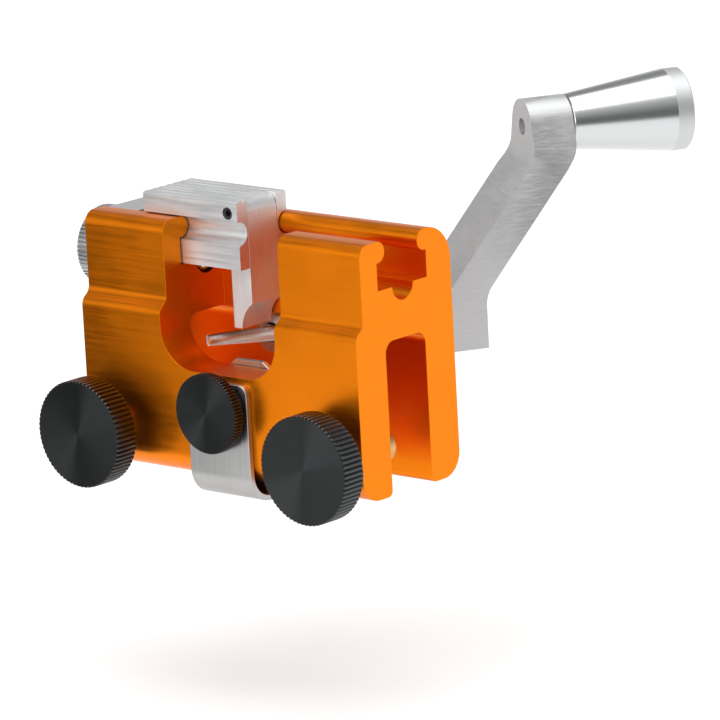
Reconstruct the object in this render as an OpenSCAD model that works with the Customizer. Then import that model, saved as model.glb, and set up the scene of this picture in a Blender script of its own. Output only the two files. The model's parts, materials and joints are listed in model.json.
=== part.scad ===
// Chainsaw sharpening jig: an extruded body that clamps over a chainsaw bar,
// a hand-cranked burr on a slanted guide tube, and a tooth stop on a feed slide.
// Origin: the point of the rear leg's inner face that the bar is clamped against.
// +X runs along the bar, -Y points to the side with the black knobs, +Z is up.

/* [Body] */
// Length of the body along the bar
body_length = 90; // [80:1:130]
// Height of the body from its feet to its top
body_h = 63; // [60:1:80]
// Width of the body across its legs
body_w = 36; // [34:0.5:44]
// How far the front face steps in above the step
step_in = 2.8; // [1.5:0.1:4]
// Drop from the top of the body to the foot of the step
step_drop = 23.3; // [21:0.1:26]
// Radius of the front top edge
front_r = 3.2; // [1:0.1:5]
// Radius of the rear top edge
rear_r = 8.6; // [3:0.1:9]
// Radius of the outer edge of each foot
foot_r = 6; // [2:0.5:7]
// Drop from the top of the body to the axis of the clamp screws
clamp_drop = 52.7; // [51.5:0.1:56]

/* [Bar slot] */
// Width of the slot that the bar and chain run in
slot_w = 14.7; // [13:0.1:16.5]
// Drop from the top of the body to the roof of the slot
slot_drop = 25; // [24.5:0.1:27]
// Radius of the corners of the slot's roof
slot_r = 3; // [1:0.1:4]

/* [Slide channel] */
// Width of the channel below its lips
channel_w = 18.1; // [17:0.1:20]
// Width of the channel's mouth between the lips
mouth_w = 12; // [11.6:0.1:13]
// Thickness of the lips
lip_t = 5.3; // [4.5:0.1:6]
// Drop from the top of the body to the floor of the channel
floor_drop = 12; // [11.5:0.1:13]
// Radius of the half-round groove in the floor
groove_r = 3.8; // [3.7:0.1:5]
// Clearance of the pieces that lie in the channel
slide_gap = 0.3; // [0.2:0.05:0.4]

/* [Window] */
// Width of the window in the front wall
window_w = 37.6; // [34:0.2:42]
// Height of the bottom of the window above the middle knob's axis
window_over = 8.6; // [7:0.1:10]
// Radius of the bottom corners of the window
window_r = 10; // [6:0.5:12]

/* [Clamp screws] */
// Distance from each end of the body to its clamp screw
clamp_inset = 8; // [6:0.5:11]
// Radius of the clamp screws
clamp_screw_r = 3; // [2.5:0.1:4]
// Radius of the clamp knobs
clamp_knob_r = 13.5; // [10:0.5:16]
// Thickness of the clamp knobs
clamp_knob_t = 7; // [5.5:0.5:10]
// Gap between the body and the clamp knobs with the bar clamped
clamp_reach = 5.6; // [5.4:0.1:9]
// Radius of the swivel pads
clamp_pad_r = 4; // [3:0.1:5]
// Thickness of the swivel pads
clamp_pad_t = 2.5; // [2:0.1:3]
// Thickness of the bar that the pads are set for
bar_t = 1.6; // [1.2:0.1:2]

/* [Chain spring] */
// Thickness of the bent strip
strip_t = 1.5; // [1:0.1:1.8]
// Width of the bent strip
strip_w = 19.8; // [16:0.2:24]
// Height of the strip's outer end above the middle knob's axis
strip_over = 7.2; // [5.5:0.1:7.6]
// Distance from the burr's axis down to the strip's inner end
strip_under = 3.5; // [3.4:0.1:5]
// Width of the slope at each corner of the strip's inner end
strip_slope_w = 5.6; // [3:0.2:7]
// Height of the slope at each corner of the strip's inner end
strip_slope_h = 4.1; // [2:0.1:5]
// Height of the straight leg above the centre of the bend
strip_bend_up = 2.7; // [2.2:0.1:3.2]
// Drop from the top of the body to the axis of the middle knob
lock_drop = 44.6; // [43:0.1:46]
// Radius of the middle knob
lock_knob_r = 10; // [8:0.5:11]
// Thickness of the middle knob
lock_knob_t = 3; // [2.5:0.1:5]
// Radius of the middle knob's screw
lock_screw_r = 2.5; // [2:0.1:3]

/* [Feed slide] */
// Gap between the bearing block and the slide
slide_start = 4.5; // [3.5:0.1:7]
// Distance from the middle of the body to the slide's working end
slide_end = 0.6; // [-1:0.1:3]
// Width of the slide's cap
cap_w = 18; // [16:0.2:20]
// Thickness of the slide's cap
cap_t = 5; // [4:0.1:7]
// Number of ridges on the cap
ridge_count = 7; // [3:1:9]
// Depth of the grooves between the ridges
ridge_d = 0.5; // [0.2:0.05:0.8]
// Radius of the feed screw's thread
feed_r = 3; // [2.6:0.1:3.1]
// Radius of the feed screw's journal
journal_r = 2.5; // [2:0.1:2.5]
// Radius of the feed knob
feed_knob_r = 10.1; // [8:0.1:11]
// Width of the feed knob
feed_knob_t = 6.4; // [5:0.1:9]
// Length of the bearing block in the channel
bearing_l = 10; // [8:0.5:10.5]

/* [Tooth stop] */
// Width of the tooth stop across the bar
stop_w = 10.8; // [9:0.1:10.8]
// Length of the tooth stop along the bar
stop_l = 6.4; // [5.4:0.1:8]
// Drop from the top of the body to the tip of the tooth stop
stop_drop = 27.3; // [26:0.1:27.8]
// Length of the flat at the tip
stop_tip = 2.6; // [1.5:0.1:3.5]
// Radius of the hollow that clears the burr
stop_hollow_r = 8; // [6:0.5:10]

/* [Burr] */
// Angle of the burr's axis in plan
burr_angle = 30; // [25:1:32]
// Drop from the top of the body to the burr's axis
burr_drop = 31; // [30.6:0.1:31.6]
// Place along the bar where the axis crosses the middle of the slot
burr_x = -9.1; // [-11:0.1:-8]
// How far the tip reaches past the middle of the slot
burr_past = 8.3; // [6:0.1:9]
// Radius of the burr at its tip
burr_tip_r = 1.4; // [1:0.1:2]
// Radius of the shank
shank_r = 2.5; // [2.3:0.1:2.8]
// Length of the cutting flutes
flute_l = 26; // [18:1:30]
// Outer radius of the guide tube
guide_r = 5; // [4.2:0.1:5.4]
// Distance along the axis from the slot's middle to the guide tube's outer end
guide_end = 44.2; // [36:0.1:46]

/* [Crank] */
// Distance from the burr's axis to the handle's axis
crank_r = 44.2; // [38:0.1:55]
// Sideways offset of the crank's upper end
crank_offset = 26.2; // [20:0.1:30]
// Thickness of the crank along the axis
crank_t = 11.2; // [9.5:0.1:13]
// Width of the crank
crank_w = 20; // [18:0.1:22]
// Width of the crank's upper end
crank_end_w = 14; // [12.5:0.1:16]
// Distance below the handle's axis where the crank starts to narrow
crank_narrow = 10.2; // [9:0.1:14]
// Height where the crank starts to lean out
lean_low = 5; // [3:0.5:7]
// Height where the crank has leaned out
lean_high = 38; // [35:0.5:38]
// Distance from the burr's axis to the crank's lower end
crank_foot = 8.5; // [7:0.1:10]
// Length of the handle
handle_l = 31; // [28:0.5:45]
// Radius of the handle's small end
handle_small_r = 6.95; // [6.2:0.05:8]
// Radius of the handle's large end
handle_big_r = 10.4; // [9:0.1:13]
// Radius of the handle bolt's shoulder
bolt_r = 3; // [2.4:0.1:3.2]

/* [Hidden] */
$fn = 64;

// Radial clearance of a shaft that turns or slides in its hole
run_gap = 0.05;
// Radial clearance of a fastener in its own hole
screw_gap = 0.05;
// Distance kept between pieces that move past each other
part_gap = 0.3;
// Small overlap of cutting shapes past the surface they cut
cut = 1;

// Body-frame values: Y is 0 in the middle of the slot, Z is 0 at the body's top.
half_w = body_w / 2;
clamp_span = body_length - 2 * clamp_inset;
window_drop = lock_drop - window_over;
front_y = -(half_w - step_in);
lip_r = lip_t / 2;
lip_y = mouth_w / 2 + lip_r;
window_back = mouth_w / 2 - part_gap;
leg_in = slot_w / 2;

bearing_x0 = -body_length / 2;
bearing_x1 = bearing_x0 + bearing_l;
slide_x0 = bearing_x1 + slide_start;
slide_low_w = channel_w - 2 * slide_gap;
neck_w = mouth_w - 2 * slide_gap;
cap_z = slide_gap + cap_t;

pad_face = -bar_t / 2 - 0.1;
pad_back = pad_face - clamp_pad_t;
clamp_knob_y = -half_w - clamp_reach;
pad_socket_r = clamp_pad_r * 0.45;
pad_socket_d = clamp_pad_t * 0.6;
clamp_screw_in = 4.5;

strip_out_drop = lock_drop - strip_over;
strip_in_drop = burr_drop + strip_under;
strip_out_y = -half_w;
strip_in_y = -leg_in + 0.35;
bend_out_r = (strip_in_y + strip_t - (strip_out_y - strip_t)) / 2;
bend_y = (strip_in_y + strip_t + strip_out_y - strip_t) / 2;
bend_z = -body_h + strip_bend_up;
lock_washer_t = 0.7;
lock_washer_rim = 3;
lock_washer_y = strip_out_y - strip_t - part_gap;
lock_knob_y = lock_washer_y - lock_washer_t - part_gap;

feed_washer_t = 0.75;
feed_hub_x = bearing_x0 - feed_washer_t - part_gap;
feed_hub_t = 1.1;
feed_hub_rim = 2.3;
feed_washer_rim = 1.8;
feed_knob_x1 = feed_hub_x - feed_hub_t;
feed_knob_x0 = feed_knob_x1 - feed_knob_t;
knob_wall = 1;
end_head_r = 3.6;
end_head_t = 1.4;
end_screw_l = 4;
end_socket_w = 2;
feed_screw_x1 = -window_w / 2 - 0.7;
nut_l = 8;
nut_r = groove_r - part_gap;
bore_x1 = feed_screw_x1 + 4;
bearing_sunk = 0.5;
bearing_screw_z = -floor_drop + 3.4;
bearing_screw_in = 1;
pin_r = 1.2;
pin_x = slide_end - 14.5;
pin_y = -6;
pin_down = 0.4;
pin_l = 4.3;
stop_screw_z = cap_z - 3;
stop_screw_in = 0.3;

slot_face_s = leg_in / cos(burr_angle);
thrust_t = 1;
crank_y0 = guide_end + 6.1;
thrust_y1 = crank_y0 - part_gap;
crank_y1 = crank_y0 + crank_t;
arm_y0 = crank_y0 + crank_offset;
arm_y1 = arm_y0 + crank_t;
handle_y0 = arm_y1 + part_gap;
handle_y1 = handle_y0 + handle_l;
bushing_r = bolt_r + 1.5;
bolt_thread_r = bolt_r * 0.7;
bolt_head_r = bushing_r;
bolt_head_t = 2.6;
bolt_head_proud = 2.2;
bolt_head_y = handle_y1 + bolt_head_proud - bolt_head_t;
crank_flare = acos(crank_end_w / 2 / norm([crank_w / 2, crank_narrow])) - atan2(crank_narrow, crank_w / 2);
washer_seat = 0.8;
set_screw_r = 2;
small_screw_r = 1.5;

orange = [0.86, 0.42, 0.03];
silver = [0.76, 0.77, 0.79];
steel = [0.62, 0.63, 0.65];
black = [0.12, 0.13, 0.14];
bronze = [0.72, 0.55, 0.30];

// Points along an arc
function arc(cx, cy, r, a0, a1, n) =
  [for (i = [0 : n]) [cx + r * cos(a0 + (a1 - a0) * i / n), cy + r * sin(a0 + (a1 - a0) * i / n)]];

// Places children given in the body frame
module in_body() {
  translate([0, -slot_w / 2, clamp_drop]) children();
}

// Places children in the frame of the burr: Y along its axis, X across, Z up
module in_burr() {
  in_body() translate([burr_x, 0, -burr_drop]) rotate([0, 0, -burr_angle]) children();
}

// Cylinder along X between two places
module rod_x(x0, x1, r) {
  translate([x0, 0, 0]) rotate([0, 90, 0]) cylinder(r = r, h = x1 - x0);
}

// Cylinder along Y between two places
module rod_y(y0, y1, r) {
  translate([0, y1, 0]) rotate([90, 0, 0]) cylinder(r = r, h = y1 - y0);
}

// Round shape along Y from a list of [distance, radius] points
module turned_y(points) {
  rotate([-90, 0, 0]) rotate_extrude()
    polygon([for (p = concat([[points[0][0], 0]], points, [[points[len(points) - 1][0], 0]])) [p[1], p[0]]]);
}

// Extrudes a shape drawn in Y and Z along X
module along_x(x0, x1) {
  translate([x0, 0, 0]) rotate([90, 0, 90]) linear_extrude(height = x1 - x0) children();
}

// Extrudes a shape drawn in X and Z along Y
module along_y(y0, y1) {
  translate([0, y1, 0]) rotate([90, 0, 0]) linear_extrude(height = y1 - y0) children();
}

// Hexagonal socket that points along -Y, with its mouth at y
module hex_y(y, flats, depth) {
  rod = flats / cos(30) / 2;
  translate([0, y + depth, 0]) rotate([90, 0, 0]) cylinder(r = rod, h = depth + cut, $fn = 6);
}

// Outline of the body's end without its hollows
module body_outline() {
  step_z = -step_drop;
  step_rise = 2 * step_in * sin(60);
  polygon(concat(
    arc(-half_w + foot_r, -body_h + foot_r, foot_r, 180, 270, 10),
    arc(half_w - foot_r, -body_h + foot_r, foot_r, 270, 360, 10),
    arc(half_w - rear_r, -rear_r, rear_r, 0, 90, 14),
    arc(front_y + front_r, -front_r, front_r, 90, 180, 8),
    arc(-half_w, step_z + step_rise, step_in, 0, -60, 6),
    arc(front_y, step_z, step_in, 120, 180, 6)
  ));
}

// Hollow of the bar slot, with a small radius at each foot's inner edge
module slot_outline() {
  polygon(concat(
    [[-leg_in, -body_h - cut], [leg_in, -body_h - cut]],
    arc(leg_in - slot_r, -slot_drop - slot_r, slot_r, 0, 90, 8),
    arc(-leg_in + slot_r, -slot_drop - slot_r, slot_r, 90, 180, 8)
  ));
  foot_in = 1.5;
  for (side = [-1, 1]) difference() {
    translate([side * leg_in - foot_in, -body_h - cut]) square([2 * foot_in, cut + foot_in]);
    translate([side * (leg_in + foot_in), -body_h + foot_in]) circle(r = foot_in, $fn = 32);
  }
}

// Hollow of the slide channel
module channel_outline() {
  translate([-channel_w / 2, -floor_drop]) square([channel_w, floor_drop - lip_t]);
  translate([0, -floor_drop]) circle(r = groove_r);
  difference() {
    translate([-lip_y, -lip_t - cut / 2]) square([2 * lip_y, lip_t + cut / 2 + cut]);
    for (side = [-1, 1]) translate([side * lip_y, -lip_r]) circle(r = lip_r);
    for (side = [-1, 1]) translate([side * lip_y - lip_r, -lip_t - cut]) square([2 * lip_r, cut]);
  }
}

// Outline of the window, seen from the front
module window_outline() {
  half = window_w / 2;
  translate([-half, -window_drop + window_r]) square([window_w, window_drop - window_r + cut]);
  translate([-half + window_r, -window_drop]) square([window_w - 2 * window_r, window_r + cut]);
  for (side = [-1, 1]) translate([side * (half - window_r), -window_drop + window_r]) circle(r = window_r, $fn = 96);
}

module main_body() {
  color(orange) in_body() difference() {
    along_x(-body_length / 2, body_length / 2) difference() {
      body_outline();
      slot_outline();
      channel_outline();
    }
    along_y(-half_w - cut, window_back) window_outline();
    for (side = [-1, 1]) translate([side * clamp_span / 2, 0, -clamp_drop])
      rod_y(-half_w - cut, 0, clamp_screw_r + run_gap);
    translate([0, 0, -lock_drop]) rod_y(-half_w - cut, 0, lock_screw_r + run_gap);
    translate([burr_x, 0, -burr_drop]) rotate([0, 0, -burr_angle]) rod_y(0, guide_end, guide_r);
    translate([bearing_x0 + bearing_l / 2, 0, bearing_screw_z]) rod_y(0, half_w + cut, set_screw_r + screw_gap);
  }
}

// Tube that guides the shank, trimmed flush with the slot's wall
module guide_tube() {
  color(steel) difference() {
    in_burr() difference() {
      rod_y(0, guide_end, guide_r);
      rod_y(-cut, guide_end + cut, shank_r + run_gap);
    }
    in_body() translate([-body_length / 2, -half_w, -body_h]) cube([body_length, half_w + leg_in, body_h]);
  }
}

// Shape that fits the channel: a lower block and a neck between the lips
module channel_shape(top) {
  translate([-slide_low_w / 2, -floor_drop + slide_gap])
    square([slide_low_w, floor_drop - lip_t - 2 * slide_gap]);
  difference() {
    translate([-lip_y, -lip_t - slide_gap - cut / 2]) square([2 * lip_y, top + lip_t + slide_gap + cut / 2]);
    for (side = [-1, 1]) translate([side * lip_y, -lip_r]) circle(r = lip_r + slide_gap);
  }
}

module feed_bearing() {
  color(silver) in_body() difference() {
    union() {
      along_x(bearing_x0, bearing_x1) channel_shape(-bearing_sunk);
      translate([0, 0, -floor_drop]) rod_x(bearing_x0, bearing_x1, nut_r);
    }
    translate([0, 0, -floor_drop]) rod_x(bearing_x0 - cut, bearing_x1 + cut, journal_r + run_gap);
  }
}

module bearing_set_screw() {
  color(steel) in_body() translate([bearing_x0 + bearing_l / 2, 0, bearing_screw_z]) difference() {
    rod_y(slide_low_w / 2 + screw_gap, half_w - bearing_screw_in, set_screw_r);
    rotate([0, 0, 180]) hex_y(-half_w + bearing_screw_in, set_screw_r, set_screw_r);
  }
}

module feed_washer() {
  color(steel) in_body() translate([0, 0, -floor_drop]) difference() {
    rod_x(bearing_x0 - feed_washer_t, bearing_x0, journal_r + feed_washer_rim);
    rod_x(bearing_x0 - feed_washer_t - cut, bearing_x0 + cut, journal_r + run_gap);
  }
}

// Stainless strip bent around the front leg's foot
module chain_spring() {
  corner_r = 2.6;
  half = strip_w / 2;
  color(steel) in_body() {
    difference() {
      along_y(strip_out_y - strip_t, strip_out_y) {
        translate([-half, bend_z]) square([strip_w, -strip_out_drop - corner_r - bend_z]);
        translate([-half + corner_r, bend_z]) square([strip_w - 2 * corner_r, -strip_out_drop - bend_z]);
        for (side = [-1, 1])
          translate([side * (half - corner_r), -strip_out_drop - corner_r]) circle(r = corner_r);
      }
      translate([0, 0, -lock_drop]) rod_y(strip_out_y - strip_t - cut, strip_out_y + cut, lock_screw_r + 0.25);
    }
    along_y(strip_in_y, strip_in_y + strip_t)
      polygon([[-half, bend_z], [half, bend_z], [half, -strip_in_drop - strip_slope_h],
        [half - strip_slope_w, -strip_in_drop], [-half + strip_slope_w, -strip_in_drop],
        [-half, -strip_in_drop - strip_slope_h]]);
    translate([0, bend_y, bend_z]) difference() {
      rod_x(-half, half, bend_out_r);
      rod_x(-half - cut, half + cut, bend_out_r - strip_t);
      translate([-half - cut, -bend_out_r - cut, 0])
        cube([strip_w + 2 * cut, 2 * (bend_out_r + cut), bend_out_r + cut]);
    }
  }
}

// Cap of the slide with its ridges
module cap_outline() {
  pitch = cap_w / ridge_count;
  polygon(concat(
    [[cap_w / 2, slide_gap], [-cap_w / 2, slide_gap]],
    [for (i = [0 : ridge_count - 1], k = [0 : 2])
      [-cap_w / 2 + pitch * (i + [0, 0.16, 0.84][k]), k == 0 ? cap_z - ridge_d : cap_z]],
    [[cap_w / 2, cap_z - ridge_d]]
  ));
}

module slide_block() {
  color(silver) in_body() difference() {
    union() {
      along_x(slide_x0, slide_end) channel_shape(slide_gap + cut / 2);
      along_x(slide_x0, slide_end) cap_outline();
    }
    translate([slide_end - stop_l, -stop_w / 2, -floor_drop])
      cube([stop_l + cut, stop_w, floor_drop + cap_z + cut]);
    translate([0, 0, -floor_drop]) rod_x(slide_x0 - cut, slide_x0 + nut_l, nut_r + screw_gap);
    translate([0, 0, -floor_drop]) rod_x(slide_x0, bore_x1, feed_r + part_gap);
    translate([slide_end - stop_l / 2, 0, stop_screw_z])
      rod_y(-cap_w / 2 - cut, 0, small_screw_r + screw_gap);
    translate([pin_x, pin_y, -floor_drop]) cylinder(r = pin_r + screw_gap, h = pin_l - pin_down + screw_gap);
  }
}

// Leg that the cutter tooth is set against
module tooth_stop() {
  edge_r = 3.2;
  x1 = slide_end;
  x0 = slide_end - stop_l + screw_gap;
  hollow_x = x0 + stop_tip + stop_hollow_r;
  side = stop_w / 2 - screw_gap;
  color(silver) in_body() difference() {
    along_y(-side, side) difference() {
      polygon(concat([[x0, -stop_drop], [x1, -stop_drop]],
        arc(x1 - edge_r, cap_z - edge_r, edge_r, 0, 90, 8), [[x0, cap_z]]));
      translate([hollow_x, -stop_drop - 0.2]) circle(r = stop_hollow_r, $fn = 96);
    }
  }
}

module stop_set_screw() {
  color(steel) in_body() translate([slide_end - stop_l / 2, 0, stop_screw_z]) difference() {
    rod_y(-cap_w / 2 + stop_screw_in, -stop_w / 2 + screw_gap / 2, small_screw_r);
    hex_y(-cap_w / 2 + stop_screw_in, small_screw_r, small_screw_r);
  }
}

module feed_nut() {
  color(bronze) in_body() translate([0, 0, -floor_drop]) difference() {
    rod_x(slide_x0, slide_x0 + nut_l, nut_r);
    rod_x(slide_x0 - cut, slide_x0 + nut_l + cut, feed_r + run_gap);
  }
}

module slide_pin() {
  color(steel) in_body() translate([pin_x, pin_y, -floor_drop - pin_down]) cylinder(r = pin_r, h = pin_l);
}

module feed_screw() {
  color(steel) in_body() translate([0, 0, -floor_drop]) difference() {
    union() {
      rod_x(feed_knob_x0 + knob_wall, bearing_x1 + part_gap + 0.1, journal_r);
      rod_x(bearing_x1 + part_gap, feed_screw_x1, feed_r);
    }
    rod_x(feed_knob_x0, feed_knob_x0 + knob_wall + end_screw_l + part_gap, small_screw_r + screw_gap);
  }
}

module feed_knob() {
  color(silver) in_body() translate([0, 0, -floor_drop]) difference() {
    union() {
      rod_x(feed_knob_x0, feed_knob_x1, feed_knob_r);
      rod_x(feed_knob_x1 - cut, feed_hub_x, journal_r + feed_hub_rim);
    }
    rod_x(feed_knob_x0 + knob_wall, feed_hub_x + cut, journal_r + screw_gap);
    rod_x(feed_knob_x0 - cut, feed_knob_x0 + knob_wall + cut, small_screw_r + screw_gap);
  }
}

module feed_end_screw() {
  color(steel) in_body() translate([0, 0, -floor_drop]) difference() {
    union() {
      rod_x(feed_knob_x0 - end_head_t, feed_knob_x0, end_head_r);
      rod_x(feed_knob_x0 - cut, feed_knob_x0 + knob_wall + end_screw_l, small_screw_r);
    }
    translate([feed_knob_x0 - end_head_t, 0, 0]) rotate([0, 0, -90]) hex_y(0, end_socket_w, end_head_t * 0.85);
  }
}

module at_clamp(side) {
  in_body() translate([side * clamp_span / 2, 0, -clamp_drop]) children();
}

module clamp_screw(side) {
  color(steel) at_clamp(side) union() {
    rod_y(clamp_knob_y - clamp_screw_in, pad_back - part_gap, clamp_screw_r);
    rod_y(pad_back - part_gap - cut, pad_back + pad_socket_d - part_gap, pad_socket_r);
  }
}

module clamp_knob(side) {
  edge = 0.4;
  y0 = clamp_knob_y - clamp_knob_t;
  color(black) at_clamp(side) difference() {
    turned_y([[y0, clamp_knob_r - edge], [y0 + edge, clamp_knob_r],
      [clamp_knob_y - edge, clamp_knob_r], [clamp_knob_y, clamp_knob_r - edge]]);
    rod_y(clamp_knob_y - clamp_screw_in, clamp_knob_y + cut, clamp_screw_r + screw_gap);
  }
}

module clamp_pad(side) {
  color(bronze) at_clamp(side) difference() {
    rod_y(pad_back, pad_face, clamp_pad_r);
    rod_y(pad_back - cut, pad_back + pad_socket_d, pad_socket_r + run_gap);
  }
}

module at_lock() {
  in_body() translate([0, 0, -lock_drop]) children();
}

module lock_washer() {
  color(steel) at_lock() difference() {
    rod_y(lock_washer_y - lock_washer_t, lock_washer_y, lock_screw_r + lock_washer_rim);
    rod_y(lock_washer_y - lock_washer_t - cut, lock_washer_y + cut, lock_screw_r + run_gap);
  }
}

module lock_knob() {
  edge = 0.3;
  y0 = lock_knob_y - lock_knob_t;
  color(black) at_lock() difference() {
    turned_y([[y0, lock_knob_r - edge], [y0 + edge, lock_knob_r],
      [lock_knob_y - edge, lock_knob_r], [lock_knob_y, lock_knob_r - edge]]);
    rod_y(lock_knob_y - lock_knob_t + knob_wall, lock_knob_y + cut, lock_screw_r + screw_gap);
  }
}

module lock_screw() {
  color(steel) at_lock() rod_y(lock_knob_y - lock_knob_t + knob_wall, strip_in_y - part_gap, lock_screw_r);
}

module thrust_washer() {
  color(bronze) in_burr() difference() {
    rod_y(thrust_y1 - thrust_t, thrust_y1, guide_r + 1);
    rod_y(thrust_y1 - thrust_t - cut, thrust_y1 + cut, shank_r + run_gap);
  }
}

// Tapered carbide burr and its shank
module burr() {
  color(steel) in_burr() turned_y([[-burr_past, burr_tip_r - 0.3], [-burr_past + 0.3, burr_tip_r],
    [-burr_past + flute_l, shank_r], [crank_y1 - 0.5, shank_r]]);
}

// Side of the crank: the height and the sideways place of its near face
function lean_points(extra) =
  let (low = lean_low, high = lean_high, r = 8, lean = atan2(crank_offset, high - low))
  let (t = r * tan(lean / 2))
  concat(
    arc(extra + crank_y0 + r, low - t, r, 180, 180 - lean, 8),
    arc(extra + arm_y0 - r, high + t, r, -lean, 0, 8)
  );

// Front of the crank: straight sides that run into its round upper end
module crank_front() {
  end_r = crank_end_w / 2;
  depth = crank_offset + crank_t + 2 * cut;
  side_x = end_r * cos(crank_flare);
  side_z = crank_r + end_r * sin(crank_flare);
  wide_x = crank_w / 2;
  wide_z = crank_r - crank_narrow;
  low_z = -crank_foot - cut;
  translate([0, crank_y0 - cut + depth, 0]) rotate([90, 0, 0]) linear_extrude(height = depth)
    polygon([[-wide_x, low_z], [wide_x, low_z], [wide_x, wide_z], [side_x, side_z], [-side_x, side_z],
      [-wide_x, wide_z]]);
  translate([0, 0, crank_r]) rod_y(crank_y0 - cut, arm_y1 + cut, end_r);
}

// S-shaped crank, cut from a plate and rounded at its upper end
module crank_arm() {
  near = lean_points(0);
  far = lean_points(crank_t);
  outline = concat([[crank_y0, -crank_foot]], near, [[arm_y0, crank_r + crank_end_w], [arm_y1, crank_r + crank_end_w]],
    [for (i = [len(far) - 1 : -1 : 0]) far[i]], [[crank_y1, -crank_foot]]);
  color(silver) in_burr() difference() {
    intersection() {
      translate([-crank_w / 2, 0, 0]) rotate([90, 0, 90]) linear_extrude(height = crank_w) polygon(outline);
      crank_front();
    }
    rod_y(crank_y0 - cut, crank_y1 + cut, shank_r + screw_gap);
    translate([0, 0, crank_r]) rod_y(arm_y0 - cut, arm_y1 + cut, bolt_thread_r + screw_gap);
    translate([0, (crank_y0 + crank_y1) / 2, -crank_foot - cut])
      cylinder(r = set_screw_r + screw_gap, h = crank_foot + cut);
  }
}

module crank_set_screw() {
  color(steel) in_burr() translate([0, (crank_y0 + crank_y1) / 2, -crank_foot + 0.4]) difference() {
    cylinder(r = set_screw_r, h = crank_foot - 0.4 - shank_r - screw_gap);
    translate([0, 0, -cut]) cylinder(r = 1 / cos(30), h = 2 + cut, $fn = 6);
  }
}

module at_handle() {
  in_burr() translate([0, 0, crank_r]) children();
}

// Shoulder bolt that the handle turns on
module handle_bolt() {
  color(steel) at_handle() difference() {
    turned_y([[arm_y0 + 1.5, bolt_thread_r], [arm_y1, bolt_thread_r], [arm_y1, bolt_r],
      [bolt_head_y, bolt_r], [bolt_head_y, bolt_head_r],
      [bolt_head_y + bolt_head_t - 0.4, bolt_head_r], [bolt_head_y + bolt_head_t, bolt_head_r - 0.4]]);
    translate([0, bolt_head_y + bolt_head_t, 0]) rotate([0, 0, 180]) hex_y(0, 3, 1.6);
  }
}

module handle_washer() {
  color(steel) at_handle() difference() {
    rod_y(arm_y1, arm_y1 + washer_seat, bushing_r + 0.6);
    rod_y(arm_y1 - cut, arm_y1 + washer_seat + cut, bolt_r + run_gap);
  }
}

// Turned handle, wider towards its free end
module handle() {
  band = 4.5;
  color(silver) at_handle() difference() {
    turned_y([[handle_y0, handle_small_r - 0.3], [handle_y0 + 0.3, handle_small_r],
      [handle_y1 - band, handle_big_r], [handle_y1 - 0.4, handle_big_r], [handle_y1, handle_big_r - 0.4]]);
    rod_y(handle_y0 - cut, arm_y1 + washer_seat + part_gap, bushing_r + 0.6 + part_gap);
    rod_y(handle_y0, bolt_head_y, bushing_r + screw_gap);
    rod_y(bolt_head_y - part_gap, handle_y1 + cut, bolt_head_r + part_gap);
  }
}

module handle_bushing() {
  color(bronze) at_handle() difference() {
    rod_y(arm_y1 + washer_seat + part_gap, bolt_head_y - part_gap, bushing_r);
    rod_y(arm_y1, handle_y1, bolt_r + run_gap);
  }
}

main_body();
guide_tube();
feed_bearing();
bearing_set_screw();
feed_washer();
chain_spring();
slide_block();
tooth_stop();
stop_set_screw();
feed_nut();
slide_pin();
feed_screw();
feed_knob();
feed_end_screw();
clamp_screw(-1);  // clamp_screw_left
clamp_screw(1);  // clamp_screw_right
clamp_knob(-1);  // clamp_knob_left
clamp_knob(1);  // clamp_knob_right
clamp_pad(-1);  // clamp_pad_left
clamp_pad(1);  // clamp_pad_right
lock_washer();
lock_knob();
lock_screw();
thrust_washer();
burr();
crank_arm();
crank_set_screw();
handle_bolt();
handle_washer();
handle();
handle_bushing();
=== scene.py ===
"""Looks of a chainsaw sharpening jig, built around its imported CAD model."""

import json
import math

import bmesh
import bpy
import numpy as np
from bpy.props import FloatProperty, FloatVectorProperty, IntProperty, PointerProperty
from mathutils import Matrix, Vector

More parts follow.
